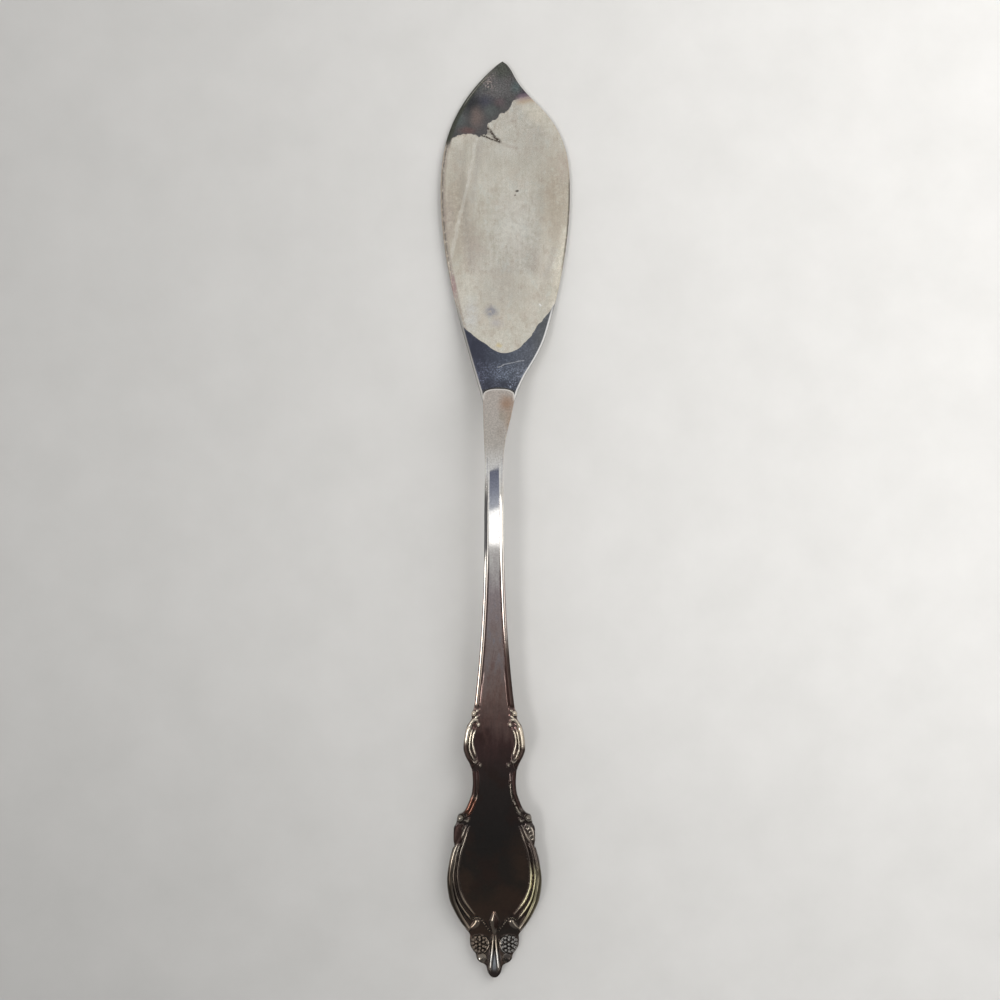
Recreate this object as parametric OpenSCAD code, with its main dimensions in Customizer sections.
// A serving spoon with a broad leaf-shaped blade and a struck, reeded handle, soldered at a half lap.
// The blade lies flat on the table, the stem arches up behind it and the handle's end comes down again.
// Places along the spoon are measured from the neck line: minus towards the point, plus towards the end.

/* [Blade] */
// Length of the blade from its point to the neck line
blade_l = 83; // [72:1:95]
// Reach of the blade's left edge from the handle's axis
blade_left = 13.5; // [10:0.1:18]
// Reach of the blade's right edge from the handle's axis
blade_right = 18.9; // [15:0.1:24]
// Distance of the widest place from the neck line
wide_at = 50.5; // [44:0.5:56]
// Sideways place of the point from the handle's axis
point_shift = 2; // [0:0.1:4]
// Distance from the point to the turn of the ogee on the right edge
ogee_at = 10.5; // [8:0.5:14]
// Reach of the right edge at the turn of the ogee
ogee_reach = 10.8; // [9:0.1:13]
// Distance of the right shoulder from the neck line
shoulder_at = 15; // [12:0.5:18]
// Reach of the right edge at the shoulder
shoulder_reach = 13.1; // [11:0.1:15]
// Distance of the hollow above the neck from the neck line
hollow_at = 6; // [4:0.5:8]
// Reach of the right edge at the hollow
hollow_reach = 8.7; // [7:0.1:10]
// Thickness of the blade's sheet
blade_t = 1.3; // [0.9:0.05:1.8]
// Thickness left at the blade's rim
rim_t = 0.8; // [0.5:0.05:0.9]
// Width of the band along the edge that is turned up
rim_w = 7; // [4:0.5:10]
// Height that the rim is turned up
rim_lift = 1.2; // [0.4:0.1:2.5]
// Rise of the point above the floor
point_lift = 0.8; // [0.4:0.1:3]
// Length of the upturned point
point_l = 26; // [18:1:30]
// Length of the heel that climbs from the floor to the neck
heel_l = 31; // [26:1:38]
// Climb of the heel for each millimetre where it meets the neck
heel_slope = 0.42; // [0.3:0.01:0.5]
// Depth of the flat that is dressed on the blade's underside
sole_cut = 0.05; // [0.02:0.01:0.1]

/* [Neck] */
// Height of the blade's underside at the neck line
neck_h = 7; // [4:0.5:10]
// Width of the handle's tongue at the neck line
tongue_w = 7.9; // [6.5:0.1:9.5]
// Thickness of the tongue where it laps over the blade's tang
tongue_t = 1.8; // [1.3:0.05:2.3]
// Bow of the tongue's front edge
tongue_bow = 0.9; // [0.5:0.05:1.4]
// Sideways place of the neck from the handle's axis
neck_shift = 1.1; // [0:0.1:2]
// Length over which the neck swings back to the handle's axis
sway_l = 15; // [11:1:24]
// Length of the lap joint behind the neck line
lap_l = 10; // [7:0.5:13]
// Climb of the spoon along the lap joint
lap_rise = 2; // [1:0.1:3]
// Width of the blade's ledge beside the tongue at the neck line
ledge_w = 0.65; // [0.3:0.05:0.9]
// Length over which the ledge runs out
ledge_l = 3; // [2:0.5:5]
// Thickness of the solder in the lap
solder_t = 0.15; // [0.1:0.01:0.3]
// Leg of the solder fillet in front of the tongue
fillet_leg = 0.45; // [0.3:0.05:0.7]

/* [Handle] */
// Length of the stem from the neck line to the collar
stem_l = 79.5; // [65:0.5:95]
// Length of the medallion from the collar to the waist
medallion_l = 17; // [15:0.5:20]
// Length of the pear-shaped panel from the waist to the terminal
panel_l = 38.3; // [34:0.5:44]
// Length of the terminal
terminal_l = 11.2; // [10:0.2:13]
// Distance from the neck line to the narrowest place of the stem
narrow_at = 32; // [26:1:38]
// Width of the stem at its narrowest place
stem_w = 4.9; // [4:0.1:6.5]
// Width of the stem just before the collar
stem_end_w = 9.8; // [8:0.1:11]
// Width across the collar
collar_w = 11.2; // [10:0.1:13]
// Width across the medallion
medallion_w = 15.4; // [13:0.1:18]
// Width across the waist
waist_w = 10.8; // [9:0.1:12.5]
// Width across the panel
panel_w = 23.6; // [20:0.1:28]
// Width across the two berry clusters
berries_w = 11.8; // [10.5:0.1:13]
// Width of the tongue-shaped end
end_w = 4.3; // [3.4:0.1:5]
// Distance from the neck line to the crest of the arch
crest_at = 22; // [18:1:30]
// Height of the stem's underside at the crest
crest_h = 9.75; // [9.5:0.05:13]
// Thickness of the stem at the crest
crest_t = 3.5; // [3:0.1:4.5]
// Thickness of the handle at the panel
panel_t = 2.4; // [1.9:0.1:3]
// Height of the reeds that border the handle
reed_h = 0.4; // [0.2:0.05:0.6]
// Width of the reeded border on the stem
stem_border = 0.95; // [0.7:0.05:1.3]
// Width of the reeded border round the panel
panel_border = 3.3; // [2.6:0.1:4]
// Radius of one berry
berry_r = 0.5; // [0.4:0.05:0.6]

/* [Hidden] */

// Lengths along the spoon
medallion_at = stem_l;
waist_at = medallion_at + medallion_l;
terminal_at = waist_at + panel_l;
handle_l = terminal_at + terminal_l;
overall_l = blade_l + handle_l;

// The origin lies under the middle of the spoon's length and of the blade's width
neck_y = overall_l / 2 - blade_l;
axis_x = (blade_left - blade_right) / 2;

// Slopes of the outline curves where they pass through the places named above
point_slope_left = 1.2;
point_slope_right = 1.15;
hook_slope = 0.6;
ogee_slope = 1.05;
shoulder_slope = 0.3;
hollow_slope = 0.63;
neck_slope_left = 0.3;
neck_slope_right = 0.42;
point_climb = 0.05;
fall_slope = 0.07;
foot_slope = 0.12;
lap_slope = lap_rise / lap_l;

// Side view: flat in front of the tongue, bend from the heel, fall behind the crest and foot at the end
lap_run = 1.5;
bend_l = 0.5;
fall_run = 18;
fall_drop = 0.6;
foot_l = 8;
foot_run = 24;
foot_rise = 2.2;
point_half = 0.5;

// The right edge near the point: it leaves the point quickly, then runs on less steeply to the ogee
hook_at = 2;
hook_reach = 4.15;
hook_end_at = 4.2;
hook_end_reach = 5.35;

// The crest of the arch is almost flat for a short way
crest_in_l = 3;
crest_out_l = 3.5;
crest_drop = 0.03;
crest_slope = 0.02;

// Value at place s of a smooth curve through [place, value, slope] knots
function curve(knots, s, i = 0) =
    s <= knots[0][0] ? knots[0][1]
    : i >= len(knots) - 1 ? knots[i][1]
    : s > knots[i + 1][0] ? curve(knots, s, i + 1)
    : let (span = knots[i + 1][0] - knots[i][0], t = (s - knots[i][0]) / span)
      (1 + 2 * t) * pow(1 - t, 2) * knots[i][1] + t * pow(1 - t, 2) * span * knots[i][2]
      + t * t * (3 - 2 * t) * knots[i + 1][1] + t * t * (t - 1) * span * knots[i + 1][2];

// The places from a up to, but not with, b in n even steps
function steps(a, b, n) = [for (i = [0 : n - 1]) a + (b - a) * i / n];
function clamp(x, low, high) = max(low, min(high, x));
function ease(x) = let (t = clamp(x, 0, 1)) t * t * (3 - 2 * t);
function y_at(s) = neck_y - s;

// Side view: height of the underside, from the point over the floor, heel, lap and crest to the foot
under_knots = [
    [-blade_l, point_lift, -point_climb],
    [-(blade_l - point_l), -sole_cut, 0],
    [-heel_l, -sole_cut, 0],
    [-lap_run - bend_l, neck_h - lap_run * lap_slope - bend_l * (lap_slope + heel_slope) / 2, heel_slope],
    [-lap_run, neck_h - lap_run * lap_slope, lap_slope],
    [lap_l, neck_h + lap_rise, lap_slope],
    [crest_at - crest_in_l, crest_h - crest_drop, crest_slope],
    [crest_at, crest_h, 0],
    [crest_at + crest_out_l, crest_h - crest_drop, -crest_slope],
    [crest_at + fall_run, crest_h - fall_drop, -fall_slope],
    [handle_l - foot_run, foot_rise, -foot_slope],
    [handle_l - foot_l, 0, 0],
    [handle_l, 0, 0]];
function under(s) = curve(under_knots, s);
function lap_plane(s, up) = neck_h + lap_slope * s + up;

// Plan view of the neck: its sideways place, and the half width of the tongue with its bowed front
front_r = (pow(tongue_w / 2, 2) + pow(tongue_bow, 2)) / (2 * tongue_bow);
front_half = 0.3;
function sway(s) = neck_shift * (1 - ease(s / sway_l));

// Plan view of the handle: half widths from the tongue to the end
pinch_l = 1.4;
swell_l = 8.1;
swell_out_l = 12.6;
collar_run = 2.5;
hip_l = 6.9;
hip_half = 0.653 * waist_w;
leaf_l = 9.6;
leaf_half = 0.39 * panel_w;
leaf_out_l = 12;
leaf_out_half = 0.428 * panel_w;
brow_l = 16.6;
brow_half = 0.437 * panel_w;
broad_l = 25.4;
chin_l = 33.6;
chin_half = 0.403 * panel_w;
cluster_l = 2.6;
cluster_r = 2.35;
cluster_end_l = 5;
lobe_l = 6.3;
lobe_end_l = 7.4;
tip_l = 8.4;
tip_end_l = 9.9;
handle_knots = [
    [0, tongue_w / 2, -0.02],
    [narrow_at / 2, 0.482 * stem_w, -0.02],
    [narrow_at, stem_w / 2, 0],
    [medallion_at - collar_run, stem_end_w / 2, 0.12],
    [medallion_at, collar_w / 2, 0],
    [medallion_at + pinch_l, 0.487 * collar_w, 0.1],
    [medallion_at + swell_l, medallion_w / 2, 0],
    [medallion_at + swell_out_l, (medallion_w + waist_w) / 4.2, -0.4],
    [waist_at, waist_w / 2, 0],
    [waist_at + hip_l, hip_half, 0.45],
    [waist_at + leaf_l, leaf_half, 0.6],
    [waist_at + leaf_out_l, leaf_out_half, 0.15],
    [waist_at + brow_l, brow_half, 0.28],
    [waist_at + broad_l, panel_w / 2, 0],
    [waist_at + chin_l, chin_half, -0.55],
    [terminal_at, 0.483 * berries_w, -0.3],
    [terminal_at + cluster_l, berries_w / 2, 0],
    [terminal_at + cluster_end_l, berries_w / 2 - cluster_r / 2, -0.8],
    [terminal_at + lobe_end_l, end_w / 2 + end_w / 4, -0.9],
    [terminal_at + tip_l, end_w / 2, -0.3],
    [terminal_at + tip_end_l, end_w / 2 - end_w / 8, -0.5],
    [handle_l, front_half, -1.2]];
function handle_half(s) =
    s < 0 ? max(front_half, sqrt(max(0, 2 * front_r * (s + tongue_bow) - pow(s + tongue_bow, 2))))
    : curve(handle_knots, s);

// Thickness of the handle at its axis, counted from the underside of the lap
lap_t = blade_t + solder_t + tongue_t;
thick_knots = [
    [-tongue_bow, lap_t, 0],
    [lap_l, lap_t, 0],
    [crest_at, crest_t, 0],
    [waist_at, 1.08 * panel_t, -0.01],
    [waist_at + broad_l, panel_t, 0],
    [handle_l, 0.92 * panel_t, -0.05]];
function handle_top(s) = under(s) + curve(thick_knots, s);

// Border of the handle: its width, and how far the reeds have risen out of the smooth neck
border_knots = [
    [lap_l, stem_border, 0],
    [narrow_at, stem_border, 0],
    [medallion_at - collar_run, 1.75 * stem_border, 0.03],
    [medallion_at + swell_l, 0.7 * panel_border, 0],
    [waist_at, 0.6 * panel_border, 0],
    [waist_at + broad_l, panel_border, 0],
    [handle_l, 0.6 * panel_border, -0.1]];
function border(s) = min(curve(border_knots, s), 0.6 * handle_half(s));
reed_start = 6;
reed_run = 10;
function reed(s) = reed_h * ease((s - reed_start) / reed_run) * ease((handle_l - s) / (terminal_l / 2));

// Reeds across the border as [share of its width from the edge, share of the reed's height]
REEDS = [[0.13, 0.3], [0.27, 1], [0.42, 0.35], [0.48, 0], [0.62, 0.8], [0.76, 0.05], [0.88, 0.45], [1, 0]];
edge_r = 0.45;
back_crown = 0.3;

// One closed cross-section of the handle as [x, y, z] points, over the top from left to right and back
function handle_section(s) =
    let (w = handle_half(s), b = border(s), h = reed(s), top = handle_top(s), low = under(s),
         x0 = axis_x + sway(s), y = y_at(s), e = min(edge_r, 0.5 * w),
         side = [for (r = REEDS) [w - r[0] * b, top + h * r[1]]],
         inner = (w - b) / 2)
    [for (p = concat(
        [[-w, low + e]], [[-w, top - e]],
        [for (p = side) [-p[0], p[1]]], [[-inner, top]], [[0, top]], [[inner, top]],
        [for (i = [len(side) - 1 : -1 : 0]) side[i]],
        [[w, top - e]], [[w, low + e]],
        [[w - 0.6 * e, low + min(back_crown, e / 2)]], [[0.6 * w, low]], [[0, low]], [[-0.6 * w, low]],
        [[-(w - 0.6 * e), low + min(back_crown, e / 2)]]))
        [x0 + p[0], y, p[1]]];

// Left and right edges of the blade, and of its tang behind the neck line, from the handle's axis
neck_half = tongue_w / 2 + ledge_w;
left_knots = [
    [-blade_l, -point_shift + point_half, point_slope_left],
    [-wide_at, blade_left, 0],
    [0, neck_half - neck_shift, -neck_slope_left]];
right_knots = [
    [-blade_l, point_shift + point_half, point_slope_right],
    [-(blade_l - hook_at), hook_reach, hook_slope],
    [-(blade_l - hook_end_at), hook_end_reach, hook_slope],
    [-(blade_l - ogee_at), ogee_reach, ogee_slope],
    [-wide_at, blade_right, 0],
    [-shoulder_at, shoulder_reach, -shoulder_slope],
    [-hollow_at, hollow_reach, -hollow_slope],
    [0, neck_half + neck_shift, -neck_slope_right]];
function tang_half(s) = handle_half(s) + ledge_w * (1 - ease(s / ledge_l));
function left_edge(s) = s <= 0 ? -curve(left_knots, s) : sway(s) - tang_half(s);
function right_edge(s) = s <= 0 ? curve(right_knots, s) : sway(s) + tang_half(s);

// How much of the turned-up rim there is: none on the lap, all of it along the blade, little at the point
rim_fade_l = 7;
rim_start_l = 8;
rim_grow_l = 30;
rim_point = 0.1;
function rim_share(s) = ease((-lap_run - bend_l - s) / rim_fade_l);
function rim_growth(s) = rim_point + (1 - rim_point) * ease((s + blade_l - rim_start_l) / rim_grow_l);
RIM_STEPS = [0, 0.12, 0.4, 0.7, 1];
function rim_height(q, s) = rim_lift * pow(1 - q, 2) * rim_share(s) * rim_growth(s);
function sheet_t(q, s) = blade_t - (blade_t - rim_t) * pow(1 - q, 2) * rim_share(s);

// One closed cross-section of the blade, over the top from left to right and back along the underside
function blade_section(s) =
    let (l = left_edge(s), r = right_edge(s), half = (r - l) / 2, x0 = axis_x + (l + r) / 2, y = y_at(s),
         band = min(rim_w, 0.7 * half), low = under(s),
         side = [for (q = RIM_STEPS) [half - q * band, rim_height(q, s), sheet_t(q, s)]],
         last = len(side) - 1)
    [for (p = concat(
        [for (p = side) [-p[0], p[1] + p[2]]], [[0, blade_t]],
        [for (i = [last : -1 : 0]) [side[i][0], side[i][1] + side[i][2]]],
        [for (p = side) [p[0], p[1]]], [[0, 0]],
        [for (i = [last : -1 : 0]) [-side[i][0], side[i][1]]]))
        [x0 + p[0], y, low + p[1]]];

// Solid through a row of closed sections that all have the same number of points
function middle_of(points) = [for (k = [0 : 2]) [for (p = points) p[k]] * [for (p = points) 1] / len(points)];
module loft(sections) {
    n = len(sections[0]);
    rows = len(sections);
    start = rows * n;
    sides = [for (i = [0 : rows - 2], j = [0 : n - 1], half = [0, 1])
        let (a = i * n + j, b = i * n + (j + 1) % n)
        half == 0 ? [a, b, b + n] : [a, b + n, a + n]];
    first = [for (j = [0 : n - 1]) [start, (j + 1) % n, j]];
    last = [for (j = [0 : n - 1]) [start + 1, start - n + j, start - n + (j + 1) % n]];
    middles = [middle_of(sections[0]), middle_of(sections[rows - 1])];
    polyhedron(concat([for (section = sections, p = section) p], middles), concat(sides, first, last), 8);
}

// Slab through the spoon from side to side with the given [place, height] outline in side view
module across(outline) {
    width = 2 * (blade_left + blade_right);
    translate([-width / 2, 0, 0])
    rotate([90, 0, 90])
    linear_extrude(width) polygon([for (p = outline) [y_at(p[0]), p[1]]]);
}

front_places = [for (q = steps(0, 1, 6)) -tongue_bow * pow(1 - q, 2)];
lap_places = steps(0, lap_l, 6);
handle_places = concat(
    front_places, lap_places,
    steps(lap_l, medallion_at - collar_run, 17),
    steps(medallion_at - collar_run, terminal_at, 44),
    steps(terminal_at, handle_l, 12), [handle_l]);
blade_places = concat(
    [for (q = steps(0, 1, 14)) -blade_l + point_l * q * q],
    steps(-(blade_l - point_l), -heel_l, 8),
    steps(-heel_l, -lap_run - bend_l, 14),
    steps(-lap_run - bend_l, -lap_run, 3),
    [-lap_run], lap_places, [lap_l]);

// The blade, with a flat dressed on its underside to rest on
module blade() {
    sole = 4 * sole_cut;
    color("#cfc8bb")
    difference() {
        loft([for (s = blade_places) blade_section(s)]);
        across([[-blade_l, 0], [0, 0], [0, -sole], [-blade_l, -sole]]);
    }
}

// A ball on the handle's face: place along it, place across it, radius and height above the face
module ball(p, fine = 10) {
    translate([axis_x + sway(p[0]) + p[1], y_at(p[0]), handle_top(p[0]) + p[3]])
    sphere(p[2], $fn = fine);
}

// A rounded ridge that runs through a row of balls
module ridge(balls) {
    for (i = [0 : len(balls) - 2])
        hull() {
            ball(balls[i], 8);
            ball(balls[i + 1], 8);
        }
}

// Radii of the ornament's beads, curls, fine ridges, leaves and lobes
bead_r = 0.55;
curl_r = 0.45;
thread_r = 0.35;
leaf_r = 0.9;
lobe_r = 1.3;

// Height of a bead's middle above the face, depth of a leaf's below it, and rise of a berry cluster
bead_rise = 0.15;
leaf_sink = 0.2;
cluster_rise = 0.55;

// Size of the curl under the panel, and of the bud between the curls
curl_l = 3.8;
curl_reach = 4.6;
bud_l = 5.6;
bud_r = 0.75;

// Both sides of the handle carry the same ornament
function across_axis(balls, side) = [for (p = balls) [p[0], side * p[1], p[2], p[3]]];

// Beads and oblique ridges of the collar, and the curls that end the medallion's scrolls
module scrolls(side) {
    collar = collar_w / 2;
    knot = waist_w / 2;
    scroll_at = medallion_at + swell_out_l;
    for (p = across_axis([
        [medallion_at - curl_r, collar - bead_r, bead_r, bead_rise],
        [medallion_at - curl_r, collar - 3 * bead_r, curl_r, bead_rise],
        [medallion_at + pinch_l + 2 * bead_r, collar - 3 * bead_r, curl_r, bead_rise],
        [scroll_at - curl_r, knot - 2 * bead_r, curl_r, bead_rise],
        [scroll_at + curl_r, knot - 4 * curl_r, curl_r, bead_rise],
        [scroll_at + curl_r, knot, curl_r, bead_rise]], side)) ball(p);
    ridge(across_axis([
        [medallion_at + 2 * thread_r, collar - 5 * thread_r, thread_r, bead_rise],
        [medallion_at + 3 * thread_r, collar - thread_r, thread_r, bead_rise]], side));
}

// Leaf that rolls over the shoulder of the panel
module shoulder_leaf(side) {
    ridge(across_axis([
        [waist_at + leaf_l, leaf_half - leaf_r, leaf_r, -leaf_sink],
        [waist_at + leaf_out_l, leaf_out_half - leaf_r, 0.9 * leaf_r, -leaf_sink],
        [waist_at + (leaf_out_l + brow_l) / 2, leaf_out_half - 0.8 * leaf_r, 0.8 * leaf_r, -leaf_sink],
        [waist_at + brow_l, brow_half - 0.6 * leaf_r, 0.5 * leaf_r, -leaf_sink]], side));
    ridge(across_axis([
        [waist_at + leaf_l, leaf_half - 3 * leaf_r, curl_r, bead_rise],
        [waist_at + leaf_out_l, leaf_out_half - 2.6 * leaf_r, curl_r, bead_rise]], side));
}

// Curl under the panel with the petal that runs from it to the middle
module curl(side) {
    ridge(across_axis([
        [terminal_at - curl_l / 3, curl_reach + 2 * curl_r, curl_r, bead_rise],
        [terminal_at - 0.75 * curl_l, curl_reach, bead_r, bead_rise],
        [terminal_at - curl_l, curl_reach - 2 * curl_r, curl_r, bead_rise],
        [terminal_at - 0.6 * curl_l, 0.55 * curl_reach, thread_r, bead_rise],
        [terminal_at - 0.2 * curl_l, 0.25 * curl_reach, thread_r, bead_rise]], side));
    ridge(across_axis([
        [terminal_at - curl_l / 3, 0.8 * curl_reach, leaf_r, -leaf_sink],
        [terminal_at, 0.4 * curl_reach, 0.7 * leaf_r, 0]], side));
}

// Cluster of berries in rings round its middle, a crescent round it, and the smooth lobe below it
module berries(side) {
    middle = berries_w / 2 - cluster_r;
    at = terminal_at + cluster_l;
    pitch = 1.7 * berry_r;
    for (ring = [0 : 2], k = [0 : max(0, 6 * ring - 1)])
        let (turn = ring == 0 ? 0 : 360 * k / (6 * ring), out = pitch * ring,
             rise = cluster_rise * (1 - pow(out / cluster_r, 2)))
        ball([at + out * sin(turn), side * (middle + out * cos(turn)), berry_r, rise], 8);
    ridge(across_axis([for (turn = [220, 180, 140, 100])
        [at + cluster_r * sin(turn), middle + cluster_r * cos(turn), thread_r, bead_rise]], side));
    ball([terminal_at + lobe_l, side * 0.75 * end_w, lobe_r, -lobe_r / 2]);
}

// Pointed bud over the terminal and the grooved tongue that ends the handle
module bud() {
    ridge([
        [terminal_at - bud_l, 0, 0.3 * bud_r, 0],
        [terminal_at - bud_l / 2, 0, bud_r, 0],
        [terminal_at, 0, 0.7 * bud_r, 0]]);
    for (side = [-1, 1])
        ridge([
            [terminal_at + cluster_l, side * 0.1 * end_w, thread_r, bead_rise],
            [terminal_at + lobe_l, side * 0.2 * end_w, 1.4 * thread_r, bead_rise],
            [terminal_at + tip_end_l, side * 0.18 * end_w, 1.2 * thread_r, -bead_rise]]);
}

// Space under the tongue that the tang and the solder fill
module lap_rebate() {
    ceiling = blade_t + solder_t;
    front = -2 * tongue_bow;
    back = lap_l + solder_t;
    floor = lap_plane(front, -ceiling);
    across([[front, lap_plane(front, ceiling)], [back, lap_plane(back, ceiling)], [back, floor], [front, floor]]);
}

// The handle, struck in one piece with its borders and ornament
module handle() {
    color("#8a7d74")
    difference() {
        union() {
            loft([for (s = handle_places) handle_section(s)]);
            for (side = [-1, 1]) {
                scrolls(side);
                shoulder_leaf(side);
                curl(side);
                berries(side);
            }
            bud();
        }
        lap_rebate();
    }
}

// A point [half width, place] of the tongue's bowed front, moved outwards from the middle of the bow
front_middle = front_r - tongue_bow;
function moved_out(s, out) =
    let (k = 1 + out / front_r)
    [handle_half(s) * k, front_middle + (s - front_middle) * k];

// Solder that fills the lap and its butt end, and stands as a fillet in front of the tongue
module neck_solder() {
    end = lap_l + solder_t;
    under_fillet = fillet_leg / 2;
    front = -tongue_bow - under_fillet;
    outline = concat(
        [for (s = front_places) moved_out(s, under_fillet)],
        [for (s = concat(lap_places, [lap_l, end])) [handle_half(s), s]]);
    bow = concat(front_places, [0]);
    color("#ded9cf")
    union() {
        intersection() {
            across([
                [front, lap_plane(front, blade_t)],
                [lap_l, lap_plane(lap_l, blade_t)],
                [lap_l, lap_plane(lap_l, 0)],
                [end, lap_plane(end, 0)],
                [end, lap_plane(end, blade_t + solder_t)],
                [front, lap_plane(front, blade_t + solder_t)]]);
            linear_extrude(crest_h + crest_t)
            polygon(concat(
                [for (p = outline) [axis_x + sway(p[1]) - p[0], y_at(p[1])]],
                [for (i = [len(outline) - 1 : -1 : 0])
                    [axis_x + sway(outline[i][1]) + outline[i][0], y_at(outline[i][1])]]));
        }
        loft([for (side = [-1, 1], i = [0 : len(bow) - 1])
            let (s = side < 0 ? bow[len(bow) - 1 - i] : bow[i])
            [for (q = [[0, 0], [0, solder_t + fillet_leg], [fillet_leg, 0]])
                let (p = moved_out(s, q[0]))
                [axis_x + neck_shift + side * p[0], y_at(p[1]), lap_plane(p[1], blade_t + q[1])]]]);
    }
}

blade();
handle();
neck_solder();
